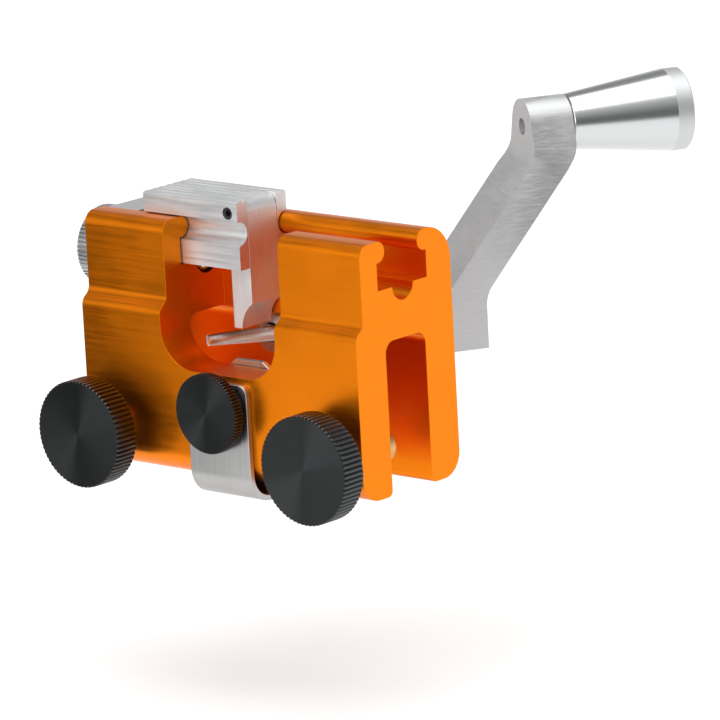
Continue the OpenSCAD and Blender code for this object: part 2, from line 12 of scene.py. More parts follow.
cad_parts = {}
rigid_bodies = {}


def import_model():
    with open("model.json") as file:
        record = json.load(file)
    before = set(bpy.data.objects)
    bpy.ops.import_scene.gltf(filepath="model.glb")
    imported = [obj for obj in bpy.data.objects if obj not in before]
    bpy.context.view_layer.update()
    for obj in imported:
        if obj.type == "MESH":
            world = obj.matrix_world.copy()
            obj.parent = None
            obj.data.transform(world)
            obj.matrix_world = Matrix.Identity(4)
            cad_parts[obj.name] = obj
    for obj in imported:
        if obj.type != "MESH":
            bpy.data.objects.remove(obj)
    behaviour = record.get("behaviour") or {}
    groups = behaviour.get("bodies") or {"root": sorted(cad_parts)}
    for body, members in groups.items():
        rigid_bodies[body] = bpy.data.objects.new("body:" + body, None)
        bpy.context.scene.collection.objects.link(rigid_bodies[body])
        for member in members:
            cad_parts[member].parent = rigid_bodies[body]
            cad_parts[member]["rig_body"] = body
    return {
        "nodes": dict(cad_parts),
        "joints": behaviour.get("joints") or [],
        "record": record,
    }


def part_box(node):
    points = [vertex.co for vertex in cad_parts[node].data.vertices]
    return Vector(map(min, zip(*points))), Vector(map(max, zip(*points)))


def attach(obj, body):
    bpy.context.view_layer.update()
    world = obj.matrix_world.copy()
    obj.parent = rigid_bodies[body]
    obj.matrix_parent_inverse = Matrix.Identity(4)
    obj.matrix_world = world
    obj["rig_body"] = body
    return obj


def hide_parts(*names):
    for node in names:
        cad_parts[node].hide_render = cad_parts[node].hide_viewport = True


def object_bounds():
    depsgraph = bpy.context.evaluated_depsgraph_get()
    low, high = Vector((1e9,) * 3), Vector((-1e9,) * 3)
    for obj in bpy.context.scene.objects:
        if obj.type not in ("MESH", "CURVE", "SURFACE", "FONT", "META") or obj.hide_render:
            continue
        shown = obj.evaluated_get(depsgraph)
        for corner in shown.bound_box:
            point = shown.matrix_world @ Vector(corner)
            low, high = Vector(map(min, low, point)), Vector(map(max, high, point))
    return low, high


bl_info = {
    "name": "Chainsaw sharpening jig",
    "version": (1, 0, 0),
    "blender": (4, 5, 0),
    "location": "View3D > Sidebar > Sharpening jig",
    "description": "Finishes the packed model of a chainsaw sharpening jig",
    "category": "Object",
}

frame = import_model()
CAD_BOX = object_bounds()

MM = 0.001
TURN = 2 * math.pi

# Most of a grey noise lies between these values
NOISE = (0.3, 0.7)

# An uneven finish multiplies its roughness by values between these
UNEVEN = (0.85, 1.2)


# Sizes and colours


def length(name, description, default):
    """A length in metres, shown with its unit."""
    return FloatProperty(name=name, description=description, default=default, unit="LENGTH", precision=5)


def number(name, description, default):
    """A plain number."""
    return FloatProperty(name=name, description=description, default=default)


def count(name, description, default):
    """A whole number."""
    return IntProperty(name=name, description=description, default=default)


def angle(name, description, degrees):
    """An angle, written in degrees."""
    return FloatProperty(name=name, description=description, default=math.radians(degrees), subtype="ANGLE")


def colour(name, description, default):
    """A linear colour."""
    return FloatVectorProperty(
        name=name, description=description, default=default, subtype="COLOR", size=3, min=0, max=1
    )


class JigColours(bpy.types.PropertyGroup):
    """Colours of the finishes."""

    orange: colour("Orange", "Anodised body", (0.94, 0.24, 0.005))
    black: colour("Black", "Blackened knobs", (0.043, 0.046, 0.047))
    # Painted highlight: a lighter colour for the outer edges of the black knobs' ribs
    crest_highlight: colour("Crest highlight", "Outer edges of the blackened knobs' ribs", (0.088, 0.094, 0.097))
    milled: colour("Milled aluminium", "Slide and tooth stop", (0.81, 0.815, 0.82))
    aluminium: colour("Aluminium", "Crank and bearing block", (0.69, 0.695, 0.70))
    polished: colour("Polished aluminium", "Handle", (0.67, 0.685, 0.69))
    plated: colour("Plated steel", "Feed knob", (0.72, 0.725, 0.73))
    stainless: colour("Stainless steel", "Chain spring", (0.52, 0.52, 0.515))
    carbide: colour("Carbide", "Burr", (0.59, 0.58, 0.57))
    steel: colour("Steel", "Screws, pins and guide tube", (0.56, 0.57, 0.58))
    blackened: colour("Blackened screw", "Set screws", (0.035, 0.035, 0.038))
    bronze: colour("Bronze", "Nut, pads, washer and bushing", (0.70, 0.46, 0.20))


class JigEdges(bpy.types.PropertyGroup):
    """Widths of the eased edges."""

    body: length("Body edge", "Width of the body's eased edges", 0.55 * MM)
    slide: length("Slide edge", "Width of the slide's eased edges", 0.15 * MM)
    stop: length("Stop edge", "Width of the tooth stop's eased edges", 0.18 * MM)
    crank: length("Crank edge", "Width of the crank's eased edges", 0.25 * MM)
    strip: length("Strip edge", "Width of the chain spring's eased edges", 0.22 * MM)


class JigKnobs(bpy.types.PropertyGroup):
    """Knurls, edges and collar of the knobs."""

    clamp_teeth: count("Clamp knob teeth", "Ribs round a clamp knob", 68)
    lock_teeth: count("Middle knob teeth", "Ribs round the middle knob", 72)
    feed_teeth: count("Feed knob teeth", "Ribs round the feed knob", 63)
    knurl_depth: length("Knurl depth", "Depth of the grooves between a black knob's ribs", 0.42 * MM)
    feed_depth: length("Feed knurl depth", "Depth of the grooves between the feed knob's ribs", 0.336 * MM)
    rim: length("Rim", "Width of the chamfer at a knob's edge", 0.35 * MM)
    collar: length("Collar", "Length of the feed knob's collar", 1.1 * MM)
    hub: length("Hub radius", "Radius of the feed knob's collar", 4.8 * MM)


class JigBurr(bpy.types.PropertyGroup):
    """Flutes of the burr."""

    flutes: count("Flutes", "Cutting edges round the burr", 30)
    turns: number("Turns", "Turns of a flute over the cutting length", 0.55)
    depth: length("Flute depth", "Depth of the flutes at the thick end", 0.12 * MM)
    cutting: length("Cutting length", "Length of the fluted part", 26 * MM)
    tip: length("Tip radius", "Radius at the tip", 1.4 * MM)


class JigHandle(bpy.types.PropertyGroup):
    """Profile of the turned handle."""

    small: length("Small radius", "Radius at the crank's end", 6.95 * MM)
    small_edge: length("Small edge", "Width of the chamfer at the crank's end", 0.3 * MM)
    band: length("Band", "Length of the straight band at the free end", 4.5 * MM)
    edge: length("Edge", "Width of the chamfer at the free end", 0.4 * MM)
    seat: length("Seat radius", "Radius of the recess over the washer", 5.4 * MM)
    seat_depth: length("Seat depth", "Depth of the recess over the washer", 0.8 * MM)
    bore: length("Bore", "Radius of the bore over the bushing", 4.55 * MM)
    head: length("Head radius", "Radius of the recess round the bolt's head", 4.8 * MM)
    head_depth: length("Head depth", "Depth of the recess round the bolt's head", 0.7 * MM)


class JigThreads(bpy.types.PropertyGroup):
    """Threads of the screws."""

    pitch: length("Clamp pitch", "Pitch of the clamp screws", 1.0 * MM)
    lock_pitch: length("Middle pitch", "Pitch of the middle knob's screw", 0.8 * MM)
    depth: length("Thread depth", "Depth of a thread of 1 mm pitch", 0.55 * MM)


class JigStage(bpy.types.PropertyGroup):
    """Camera, floor, surroundings and lights."""

    azimuth: angle("Azimuth", "Direction of the view round the vertical", 41.6186)
    elevation: angle("Elevation", "Height of the camera above the horizon", 13.1323)
    roll: angle("Roll", "Turn of the picture", -3.0309)
    distance: length("Distance", "From the camera to the point that it aims at", 1.4664)
    lens: FloatProperty(
        name="Lens", description="Focal length on a 36 mm sensor", default=300.0, subtype="DISTANCE_CAMERA"
    )
    aim: FloatVectorProperty(
        name="Aim", description="Point in the middle of the picture", default=(0.02227, 0.00144, 0.01747),
        subtype="TRANSLATION", unit="LENGTH",
    )
    drop: length("Drop", "From the jig's lowest point to the floor", 0.05)
    floor: colour("Floor", "Colour of the floor", (0.8, 0.8, 0.8))
    floor_near: length("Floor near", "From the jig to the floor's edge towards the camera", 0.55)
    floor_far: length("Floor far", "From the jig to the floor's far edge", 4.0)
    floor_left: length("Floor left", "From the jig to the floor's left edge", 0.42)
    floor_right: length("Floor right", "From the jig to the floor's right edge", 2.0)
    glow: number("Glow", "White added to the floor in view and in reflections", 0.25)
    wall: number("Wall", "Brightness of the wall behind the jig", 0.95)
    upper: number("Upper wall", "Brightness above the wall", 0.3)
    left: number("Left", "Brightness of the wall's left end", 0.85)
    room: number("Room", "Brightness low on the camera's side", 0.14)
    roof: number("Roof", "Brightness high on the camera's side", 0.6)
    overhead: number("Overhead", "Light from overhead on a level white card", 0.7)
    overhead_width: angle("Overhead width", "Apparent width of the overhead lamp", 70)
    card: number("Card", "Brightness of the dark card at the left", 0.07)
    card_distance: length("Card distance", "From the jig's front to the card", 0.16)
    card_left: length("Card left", "From the jig's middle to the card's left edge, across it", -0.3)
    card_right: length("Card right", "From the jig's middle to the card's right edge, across it", -0.01)
    card_bottom: length("Card bottom", "From the jig's middle to the card's lower edge, up it", -0.2)
    card_top: length("Card top", "From the jig's middle to the card's upper edge, up it", 0.055)
    side: number("Side", "Light from the left on a white card that faces it", 0.25)
    side_width: angle("Side width", "Apparent width of the lamp at the left", 45)
    front: number("Front", "Light from the front on a white card that faces it", 0.27)
    front_width: angle("Front width", "Apparent width of the lamp in front", 35)


class JigSettings(bpy.types.PropertyGroup):
    """Everything that a user would change."""

    colours: PointerProperty(type=JigColours)
    edges: PointerProperty(type=JigEdges)
    knobs: PointerProperty(type=JigKnobs)
    burr: PointerProperty(type=JigBurr)
    handle: PointerProperty(type=JigHandle)
    threads: PointerProperty(type=JigThreads)
    stage: PointerProperty(type=JigStage)


# Places read from the frame


def joint_axis(name):
    """A point on a hinge's axis and its unit direction."""
    joint = next(j for j in frame["joints"] if j["name"] == name)
    direction = np.array(joint["axis"], float)
    return np.array(joint["pos_m"], float), direction / np.linalg.norm(direction)


def node_points(node):
    """Corners of a CAD node's mesh as an array."""
    mesh = frame["nodes"][node].data
    points = np.empty(len(mesh.vertices) * 3, np.float32)
    mesh.vertices.foreach_get("co", points)
    return points.reshape(-1, 3).astype(float)


class Axis:
    """A straight axis with two directions across it.

    The cross product of across and upright is along, so surfaces face outwards.
    """

    def __init__(self, origin, along):
        self.origin = np.array(origin, float)
        self.along = np.array(along, float) / np.linalg.norm(along)
        helper = np.array((1.0, 0, 0)) if abs(self.along[2]) > 0.9 else np.array((0, 0, 1.0))
        self.across = np.cross(helper, self.along)
        self.across /= np.linalg.norm(self.across)
        self.upright = np.cross(self.along, self.across)

    def span(self, node):
        """Lowest and highest place of a node along the axis, and its largest distance from it."""
        arm = node_points(node) - self.origin
        places = arm @ self.along
        reach = np.linalg.norm(arm - np.outer(places, self.along), axis=1)
        return places.min(), places.max(), reach.max()

    def surface(self, places, radii, angles):
        """Point = origin + place * along + radius * (cos(angle) * across + sin(angle) * upright)."""
        places, radii, angles = np.broadcast_arrays(places, radii, angles)
        ring = np.cos(angles)[..., None] * self.across + np.sin(angles)[..., None] * self.upright
        return self.origin + places[..., None] * self.along + radii[..., None] * ring


# Meshes


def shade(mesh, crease_degrees):
    """Smooth shading with sharp edges where the surface turns by more than the crease angle."""
    mesh.shade_smooth()
    mesh.set_sharp_from_angle(angle=math.radians(crease_degrees))


def closed_skin(name, grid, crease_degrees, hollow=False):
    """Closed mesh from a grid of rings: each ring joins the next, and each end closes on its middle point.

    A hollow mesh has no ends. Its last ring joins its first.
    """
    rows, columns = grid.shape[:2]
    joins = rows if hollow else rows - 1
    row, column = np.meshgrid(np.arange(joins), np.arange(columns), indexing="ij")
    row_after = (row + 1) % rows
    column_after = (column + 1) % columns
    corners = (row * columns + column, row * columns + column_after,
               row_after * columns + column_after, row_after * columns + column)
    faces = np.stack(corners, axis=-1).reshape(-1, 4).tolist()
    points = grid.reshape(-1, 3)
    if not hollow:
        points = np.concatenate([points, [grid[0].mean(axis=0), grid[-1].mean(axis=0)]])
        ring = np.arange(columns)
        after = (ring + 1) % columns
        last_row = (rows - 1) * columns
        first_middle = np.full(columns, rows * columns)
        last_middle = first_middle + 1
        faces += np.stack([after, ring, first_middle], axis=-1).tolist()
        faces += np.stack([last_row + ring, last_row + after, last_middle], axis=-1).tolist()
    mesh = bpy.data.meshes.new(name)
    mesh.from_pydata(points.tolist(), [], faces)
    shade(mesh, crease_degrees)
    return mesh


def put(name, data):
    """A new object in the scene."""
    made = bpy.data.objects.new(name, data)
    bpy.context.scene.collection.objects.link(made)
    return made


def rectangle(name, origin, level, rise, low, high):
    """A flat rectangle between two corners, each given by its places along the two directions."""
    ends = ((low[0], low[1]), (high[0], low[1]), (high[0], high[1]), (low[0], high[1]))
    mesh = bpy.data.meshes.new(name)
    mesh.from_pydata([origin + level * across + rise * up for across, up in ends], [], [(0, 1, 2, 3)])
    return put(name, mesh)


def place_piece(mesh, name, body, material, nodes):
    """Puts a finished mesh into the scene, on its body, in place of its CAD nodes."""
    mesh.name = name
    piece = put(name, mesh)
    mesh.materials.clear()
    mesh.materials.append(material)
    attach(piece, body)
    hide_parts(*nodes)
    return piece


def body_of(node):
    """Name of the body that a CAD node rides on."""
    return frame["nodes"][node]["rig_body"]


def slot_of(node):
    """Name of the record's material slot of a CAD node."""
    return next(part["material_slot"] for part in frame["record"]["subparts"] if part["node"] == node)


def stand_in(mesh, node, material):
    """A piece named after the CAD node that it replaces."""
    return place_piece(mesh, node + "_finished", body_of(node), material, [node])


def dress(node, material):
    """Gives a CAD node that stays in view its material."""
    mesh = frame["nodes"][node].data
    mesh.materials.clear()
    mesh.materials.append(material)


def eased_copy(node, width, material):
    """A copy of a CAD node whose corners are eased.

    Loose triangles are merged and flat regions joined. Then a bevel of the given width runs along every
    edge where the surface turns by more than the crease angle.
    """
    crease_degrees = 32
    flat_degrees = 0.4
    weld = 0.002 * MM
    mesh = frame["nodes"][node].data.copy()
    shell = bmesh.new()
    shell.from_mesh(mesh)
    bmesh.ops.remove_doubles(shell, verts=shell.verts, dist=weld)
    bmesh.ops.dissolve_limit(
        shell, angle_limit=math.radians(flat_degrees), use_dissolve_boundaries=False,
        verts=shell.verts, edges=shell.edges,
    )
    shell.to_mesh(mesh)
    shell.free()
    if mesh.attributes.get("custom_normal"):
        mesh.attributes.remove(mesh.attributes["custom_normal"])
    shade(mesh, crease_degrees)
    piece = stand_in(mesh, node, material)
    bevel = piece.modifiers.new("eased edges", "BEVEL")
    bevel.width = width
    bevel.segments = 2
    bevel.limit_method = "ANGLE"
    bevel.angle_limit = math.radians(crease_degrees)
    bevel.harden_normals = True
    bevel.miter_outer = "MITER_ARC"
    return piece


# Materials


class Sheet:
    """The node tree of a material or world, with short calls to add nodes."""

    def __init__(self, owner):
        self.owner = owner
        owner.use_nodes = True
        self.tree = owner.node_tree
        self.tree.nodes.clear()

    @classmethod
    def material(cls, name):
        """The tree of a new material."""
        return cls(bpy.data.materials.new(name))

    def add(self, kind, inputs=None, **settings):
        """Adds a node. Inputs are values, or output sockets to link from."""
        made = self.tree.nodes.new("ShaderNode" + kind)
        for key, value in settings.items():
            setattr(made, key, value)
        for key, value in (inputs or {}).items():
            socket = made.inputs[key]
            if isinstance(value, bpy.types.NodeSocket):
                self.tree.links.new(value, socket)
            else:
                socket.default_value = value
        return made

    def math(self, operation, first, second):
        """Result of a math node."""
        return self.add("Math", {0: first, 1: second}, operation=operation).outputs[0]

    def vector(self, operation, first, second):
        """Vector result of a vector math node."""
        return self.add("VectorMath", {0: first, 1: second}, operation=operation).outputs[0]

    def spread(self, value, low, high, out_low, out_high):
        """Value carried smoothly from one range to another."""
        ranges = {"Value": value, "From Min": low, "From Max": high, "To Min": out_low, "To Max": out_high}
        return self.add("MapRange", ranges, interpolation_type="SMOOTHSTEP").outputs[0]

    def dot(self, first, second):
        """Dot product of two vectors."""
        return self.add("VectorMath", {0: first, 1: second}, operation="DOT_PRODUCT").outputs["Value"]

    def place(self, offset=(0, 0, 0), scale=(1, 1, 1)):
        """Object coordinates, scaled and moved."""
        coordinates = self.add("TexCoord").outputs["Object"]
        return self.add("Mapping", {"Location": offset, "Scale": scale, "Vector": coordinates}).outputs[0]

    def noise(self, vector, detail, roughness, scale=1.0):
        """Grey noise, most of it between the two values of NOISE."""
        inputs = {"Vector": vector, "Scale": scale, "Detail": detail, "Roughness": roughness}
        return self.add("TexNoise", inputs).outputs["Fac"]

    def rings(self, value, scale):
        """Grey noise that changes with one value only."""
        line = self.add("CombineXYZ", {0: value}).outputs[0]
        return self.noise(line, detail=3.0, roughness=0.7, scale=scale)

    def blend(self, factor, dark, light):
        """A colour between two, given as sockets or as four numbers."""
        return self.add("Mix", {0: factor, 6: dark, 7: light}, data_type="RGBA").outputs[2]

    def shade_between(self, factor, dark, light):
        """A colour between two, given as three numbers."""
        return self.blend(factor, (*dark, 1), (*light, 1))

    def bump(self, height, strength, distance):
        """Normal bent by a height."""
        return self.add("Bump", {"Strength": strength, "Distance": distance, "Height": height}).outputs[0]

    def light(self, kind, strength):
        """White light of a strength, from an emission or a background node."""
        return self.add(kind, {"Color": (1, 1, 1, 1), "Strength": strength}).outputs[0]

    def finish(self, inputs):
        """Ends the tree with a principled shader."""
        shader = self.add("BsdfPrincipled", inputs)
        self.add("OutputMaterial", {"Surface": shader.outputs[0]})
        return self.owner


def darker(base, share):
    """A colour times a share, which above 1 makes it lighter."""
    return tuple(channel * share for channel in base)


def brushed(name, base, roughness, grain, depth, metallic=1.0, streaks=0.12, stray=0.0):
    """Metal with fine lines over broad clouds.

    grain is the noise's scale along each axis, small where the lines run. depth is the lines' depth and
    stray how far they wander, in metres. streaks is how much darker the colour gets.
    """
    wander_scale = (150, 150, 150)
    cloud_scale = (60, 60, 60)
    lines_share = 0.6
    sheet = Sheet.material(name)
    run = sheet.place(scale=grain)
    if stray:
        wander = sheet.noise(sheet.place(scale=wander_scale), detail=2.0, roughness=0.5)
        offsets = {axis: sheet.math("MULTIPLY", wander, stray * grain[axis]) for axis in range(3)}
        shift = sheet.add("CombineXYZ", offsets)
        run = sheet.vector("ADD", run, shift.outputs[0])
    lines = sheet.spread(sheet.noise(run, detail=4.0, roughness=0.6), *NOISE, 0.0, 1.0)
    cloud_noise = sheet.noise(sheet.place(scale=cloud_scale), detail=3.0, roughness=0.5)
    cloud = sheet.spread(cloud_noise, *NOISE, 0.0, 1.0)
    fine = sheet.math("MULTIPLY", lines, lines_share)
    broad = sheet.math("MULTIPLY", cloud, 1 - lines_share)
    uneven = sheet.math("ADD", fine, broad)
    smooth, rough = (roughness * share for share in UNEVEN)
    return sheet.finish({
        "Base Color": sheet.shade_between(uneven, darker(base, 1 - streaks), base),
        "Metallic": metallic,
        "Roughness": sheet.spread(uneven, 0.0, 1.0, smooth, rough),
        "Normal": sheet.bump(lines, strength=0.5, distance=depth),
    })


def turned_face(name, base, centre, axis_letter, roughness, anisotropic, crest, crest_highlight, crest_roughness):
    """Turned metal: fine rings round an axis along X or Y, with highlights drawn out across them.

    Near the crest's radius the metal takes a lighter colour, a painted highlight, and the crest's
    roughness.
    """
    groove = 0.02 * MM
    crest_start = crest - 0.3 * MM
    crest_full = crest - 0.05 * MM
    sheet = Sheet.material(name)
    arm = sheet.place(offset=tuple(-c for c in centre))
    flat = {"X": (0, 1, 1), "Y": (1, 0, 1)}[axis_letter]
    arm = sheet.vector("MULTIPLY", arm, flat)
    reach = sheet.add("VectorMath", {0: arm}, operation="LENGTH").outputs["Value"]
    rings = sheet.rings(reach, scale=2600.0)
    radial = sheet.add("VectorMath", {0: arm}, operation="NORMALIZE").outputs[0]
    # Painted highlight: the ribs' outer crests are blended to a lighter colour
    outer = sheet.spread(reach, crest_start, crest_full, 0.0, 1.0)
    dark = sheet.shade_between(outer, darker(base, 0.8), crest_highlight)
    light = sheet.shade_between(outer, darker(base, 1.15), crest_highlight)
    rough = sheet.spread(outer, 0.0, 1.0, roughness, crest_roughness)
    ripple = sheet.spread(rings, *NOISE, *UNEVEN)
    return sheet.finish({
        "Base Color": sheet.blend(rings, dark, light),
        "Metallic": 1.0,
        "Roughness": sheet.math("MULTIPLY", rough, ripple),
        "Anisotropic": anisotropic,
        "Tangent": radial,
        "Normal": sheet.bump(rings, strength=0.35, distance=groove),
    })


def view_directions(s):
    """Level directions away from the camera and to its right."""
    away = Vector((-math.sin(s.azimuth), math.cos(s.azimuth), 0))
    right = Vector((math.cos(s.azimuth), math.sin(s.azimuth), 0))
    return away, right


def settings():
    """The user's settings on the scene."""
    return bpy.context.scene.sharpening_jig


# Pieces


def flat_topped(phase, stretch):
    """Triangle wave with a flat top: twice the distance to the nearest half, stretched, and at most 1."""
    return np.clip(np.abs(2 * (phase % 1.0) - 1) * stretch, 0, 1)


def knurled_knob(name, axis, low, high, radius, teeth, depth, rim, hub=None):
    """A knob with straight ribs: rings of radius r(place) - depth * (1 - wave(angle)).

    The wave is 1 on a rib's flat top. The ribs run out in a chamfer at both ends. hub is the place and
    radius of a collar at the low end.
    """
    columns_per_tooth = 8
    columns = teeth * columns_per_tooth
    angles = np.arange(columns) * TURN / columns
    wave = flat_topped(angles * teeth / TURN, stretch=1.35)
    face = (0.35, 0.7, 1.0)
    chamfer = ((0.0, -rim), (0.4 * rim, -0.45 * rim), (rim, 0.0))
    inner = radius - rim - depth
    rows = [(low, inner * share, 0.0) for share in face]
    rows += [(low + place, radius + step, 1.0) for place, step in chamfer]
    rows += [(high - place, radius + step, 1.0) for place, step in chamfer[::-1]]
    rows += [(high, inner * share, 0.0) for share in face[::-1]]
    if hub:
        hub_place, hub_radius = hub
        collar = [(hub_place, hub_radius * 0.5, 0.0), (hub_place, hub_radius, 0.0), (low, hub_radius, 0.0)]
        rows = collar + rows[1:]
    places, radii, ribbed = (np.array(column)[:, None] for column in zip(*rows))
    full = np.broadcast_to(radii, (len(rows), columns))
    run_out = np.maximum(radius - full - rim * 0.5, 0)
    grooved = np.minimum(full, radius - depth * (1 - wave)[None, :] - run_out)
    grid = axis.surface(places, np.where(ribbed > 0, grooved, full), angles[None, :])
    return closed_skin(name, grid, crease_degrees=28)


class JIG_OT_clamp_knobs(bpy.types.Operator):
    """Builds the two clamp knobs and the middle knob with their straight knurls"""

    bl_idname = "jig.clamp_knobs"
    bl_label = "Black knobs"

    def execute(self, context):
        s = settings()
        for node, teeth, roughness in (
            ("clamp_knob_left", s.knobs.clamp_teeth, 0.42),
            ("clamp_knob_right", s.knobs.clamp_teeth, 0.42),
            ("lock_knob", s.knobs.lock_teeth, 0.6),
        ):
            low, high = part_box(node)
            centre = (low + high) / 2
            axis = Axis((centre.x, 0, centre.z), (0, -1, 0))
            start, end, radius = axis.span(node)
            mesh = knurled_knob(node, axis, start, end, radius, teeth, s.knobs.knurl_depth, s.knobs.rim)
            material = turned_face(
                node, s.colours.black, (centre.x, 0, centre.z), "Y", roughness, anisotropic=0.95,
                crest=radius, crest_highlight=s.colours.crest_highlight, crest_roughness=0.3,
            )
            stand_in(mesh, node, material)
        return {"FINISHED"}


class JIG_OT_feed_knob(bpy.types.Operator):
    """Builds the plated feed knob with its knurl and collar"""

    bl_idname = "jig.feed_knob"
    bl_label = "Feed knob"

    def execute(self, context):
        s = settings()
        origin, _ = joint_axis("feed_turn")
        centre = (0, origin[1], origin[2])
        axis = Axis(centre, (-1, 0, 0))
        start, end, radius = axis.span("feed_knob")
        mesh = knurled_knob(
            "feed_knob", axis, start + s.knobs.collar, end, radius, s.knobs.feed_teeth, s.knobs.feed_depth,
            s.knobs.rim, hub=(start, s.knobs.hub),
        )
        material = turned_face(
            "feed_knob", s.colours.plated, centre, "X", roughness=0.28, anisotropic=0.5,
            crest=radius, crest_highlight=s.colours.plated, crest_roughness=0.25,
        )
        stand_in(mesh, "feed_knob", material)
        return {"FINISHED"}


class JIG_OT_body(bpy.types.Operator):
    """Eases the edges of the extruded body and gives it its brushed orange finish"""

    bl_idname = "jig.body"
    bl_label = "Body"

    def execute(self, context):
        s = settings()
        material = brushed(
            "orange anodised", s.colours.orange, roughness=0.34, grain=(40, 2400, 2400), depth=0.001 * MM,
            streaks=0.06,
        )
        eased_copy("main_body", s.edges.body, material)
        return {"FINISHED"}


class JIG_OT_slide(bpy.types.Operator):
    """Eases the slide and the tooth stop"""

    bl_idname = "jig.slide"
    bl_label = "Slide"

    def execute(self, context):
        s = settings()
        block = brushed(
            "machined slide", s.colours.milled, roughness=0.45, grain=(50, 1500, 1500), depth=0.005 * MM,
            streaks=0.16,
        )
        stop = brushed(
            "machined stop", s.colours.milled, roughness=0.5, grain=(1500, 1500, 120), depth=0.003 * MM
        )
        eased_copy("slide_block", s.edges.slide, block)
        eased_copy("tooth_stop", s.edges.stop, stop)
        return {"FINISHED"}


class JIG_OT_crank(bpy.types.Operator):
    """Eases the crank arm and gives it its saw marks"""

    bl_idname = "jig.crank"
    bl_label = "Crank arm"

    def execute(self, context):
        s = settings()
        material = brushed(
            "sawn crank", s.colours.aluminium, roughness=0.5, grain=(230, 230, 2300), depth=0.02 * MM,
            streaks=0.16, stray=0.3 * MM,
        )
        eased_copy("crank_arm", s.edges.crank, material)
        return {"FINISHED"}


class JIG_OT_chain_spring(bpy.types.Operator):
    """Eases the bent strip"""

    bl_idname = "jig.chain_spring"
    bl_label = "Chain spring"

    def execute(self, context):
        s = settings()
        material = brushed(
            "polished strip", s.colours.stainless, roughness=0.36, grain=(1100, 40, 40), depth=0.003 * MM,
            streaks=0.16,
        )
        eased_copy("chain_spring", s.edges.strip, material)
        return {"FINISHED"}


class JIG_OT_burr(bpy.types.Operator):
    """Builds the tapered burr with its spiral flutes and its shank"""

    bl_idname = "jig.burr"
    bl_label = "Burr"

    def execute(self, context):
        s = settings()
        axis = Axis(*joint_axis("crank_spin"))
        start, end, shank = axis.span("burr")
        mesh = self.fluted(axis, start, end, shank, s.burr)
        material = brushed(
            "ground carbide", s.colours.carbide, roughness=0.24, grain=(900, 900, 900), depth=0.004 * MM
        )
        stand_in(mesh, "burr", material)
        return {"FINISHED"}

    @staticmethod
    def fluted(axis, start, end, shank, sizes):
        """Rings of radius R(place) - depth(place) * ramp(flute angle), closed by a nose and a plain shank.

        The flute angle is the angle plus a share of a turn that grows along the burr. The ramp rises
        slowly from one cutting edge and drops before the next, as ground flutes do. The flutes are
        shallower at the tip and run out at the shank.
        """
        columns_per_flute = 10
        rows = 150
        rise = 0.75
        rise_power = 0.8
        tip_share = 0.25
        run_out = 0.06
        run_in = 0.01
        run_in_share = 0.3
        nose_shares = np.array([[0.35], [0.8]])
        nose_edge = 0.1 * MM
        tail_edge = 0.2 * MM
        columns = sizes.flutes * columns_per_flute
        angles = np.arange(columns)[None, :] * TURN / columns
        travel = np.linspace(0, 1, rows)[:, None]
        places = start + travel * sizes.cutting + np.where(travel == 0, nose_edge, 0)
        radii = sizes.tip + (shank - sizes.tip) * travel
        fade = np.clip((1 - travel) / run_out, 0, 1) * np.clip(travel / run_in, run_in_share, 1)
        depth = sizes.depth * (tip_share + (1 - tip_share) * travel) * fade
        twisted = angles + travel * sizes.turns * TURN
        share = (twisted * sizes.flutes / TURN) % 1.0
        rising = np.sin(share / rise * math.pi / 2) ** rise_power
        ramp = np.where(share < rise, rising, (1 - share) / (1 - rise))
        tail = np.array([
            (start + sizes.cutting + tail_edge, shank),
            (end - tail_edge, shank),
            (end, shank - tail_edge),
        ])
        rings = [
            axis.surface(start, nose_shares * sizes.tip, angles),
            axis.surface(places, radii - depth * ramp, angles),
            axis.surface(tail[:, :1], tail[:, 1:], angles),
        ]
        return closed_skin("burr", np.concatenate(rings), crease_degrees=25)


class JIG_OT_handle(bpy.types.Operator):
    """Builds the turned handle with its bore"""

    bl_idname = "jig.handle"
    bl_label = "Handle"

    def execute(self, context):
        s = settings()
        origin, along = joint_axis("handle_spin")
        outwards = along if along[1] > 0 else -along
        axis = Axis(origin, outwards)
        start, end, radius = axis.span("handle")
        mesh = self.turned(axis, start, end, radius, s.handle)
        stand_in(mesh, "handle", self.polished(s.colours.polished, axis, end - s.handle.band))
        return {"FINISHED"}

    @staticmethod
    def turned(axis, start, end, radius, sizes):
        """Rings of the profile's radii: out over the cone and the band, and back through the bore."""
        columns = 160
        profile = np.array([
            (start, sizes.seat),
            (start, sizes.small - sizes.small_edge),
            (start + sizes.small_edge, sizes.small),
            (end - sizes.band, radius),
            (end - sizes.edge, radius),
            (end, radius - sizes.edge),
            (end, sizes.head),
            (end - sizes.head_depth, sizes.head),
            (end - sizes.head_depth, sizes.bore),
            (start + sizes.seat_depth, sizes.bore),
            (start + sizes.seat_depth, sizes.seat),
        ])
        angles = np.arange(columns)[None, :] * TURN / columns
        grid = axis.surface(profile[:, :1], profile[:, 1:], angles)
        return closed_skin("handle", grid, crease_degrees=5, hollow=True)

    @staticmethod
    def polished(base, axis, band):
        """Polished metal with faint turning rings along the handle, duller from the band's place on."""
        bright = (0.19, 0.27)
        dulling = 0.3
        blur = 0.05 * MM
        groove = 0.006 * MM
        sheet = Sheet.material("polished handle")
        along = sheet.dot(sheet.place(offset=tuple(-axis.origin)), tuple(axis.along))
        rings = sheet.rings(along, scale=3500.0)
        dull = sheet.spread(along, band - blur, band + blur, 0.0, dulling)
        return sheet.finish({
            "Base Color": sheet.shade_between(rings, darker(base, 0.93), base),
            "Metallic": 1.0,
            "Roughness": sheet.math("ADD", sheet.spread(rings, *NOISE, *bright), dull),
            "Normal": sheet.bump(rings, strength=0.3, distance=groove),
        })


